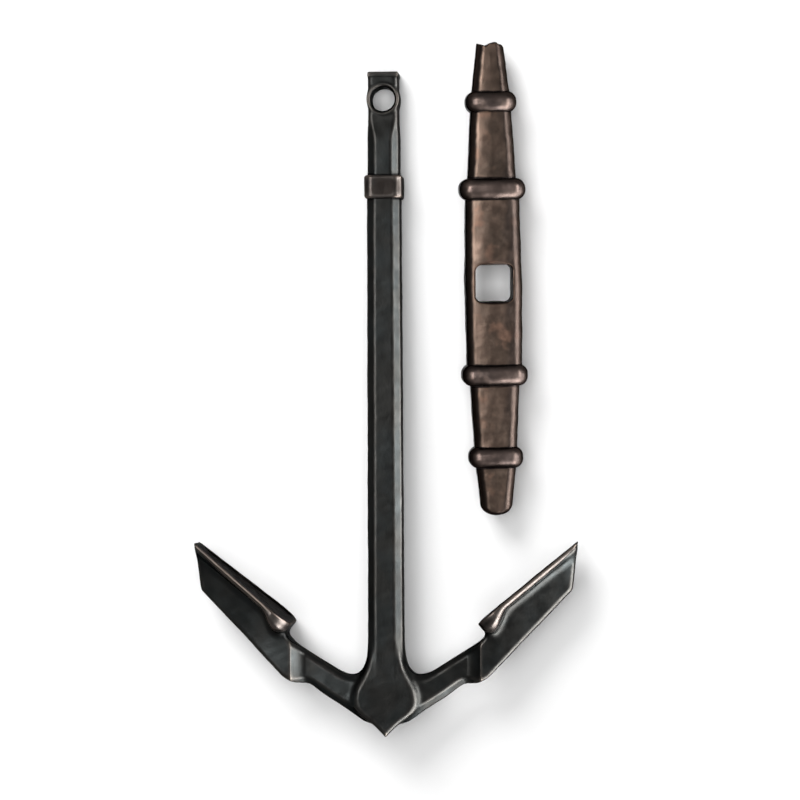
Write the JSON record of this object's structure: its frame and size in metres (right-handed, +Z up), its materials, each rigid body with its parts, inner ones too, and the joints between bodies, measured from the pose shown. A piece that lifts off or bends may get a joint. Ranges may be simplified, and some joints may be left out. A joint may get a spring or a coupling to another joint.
{
  "type": "fisherman anchor",
  "caption": "Fisherman-pattern anchor with fixed palms, pointed crown, collared shank and shackle eye, its tapering hooped stock drawn off and laid alongside.",
  "frame": {"origin": "middle of the footprint of the anchor and its stock as laid out, on the surface they lie on", "axes": "+Y along the shank towards the head with the eye, +X towards the right fluke, +Z up from the surface"},
  "size_m": [0.3842, 0.6918, 0.0903],
  "materials": {
    "blackened_iron": "blackened, rubbed, satin",
    "worn_iron": "blackened with copper-brown wear on the edges",
    "brown_bronze": "brown antique patina, rubbed bright on high places",
    "dark_bronze": "dark brown antique patina, rubbed on top"
  },
  "bodies": {
    "anchor": {"shank": "blackened_iron", "collar": "worn_iron", "crown": "blackened_iron", "left_arm": "blackened_iron", "right_arm": "blackened_iron", "left_palm": "worn_iron", "right_palm": "worn_iron"},
    "stock": {"stock": "brown_bronze", "upper_outer_hoop": "dark_bronze", "upper_inner_hoop": "dark_bronze", "lower_inner_hoop": "dark_bronze", "lower_outer_hoop": "dark_bronze"}
  },
  "joints": [
    {"name": "stock_lift", "type": "slide", "parent": "anchor", "child": "stock", "axis": [0, 0, 1], "range_m": [0, 0.15]}
  ]
}
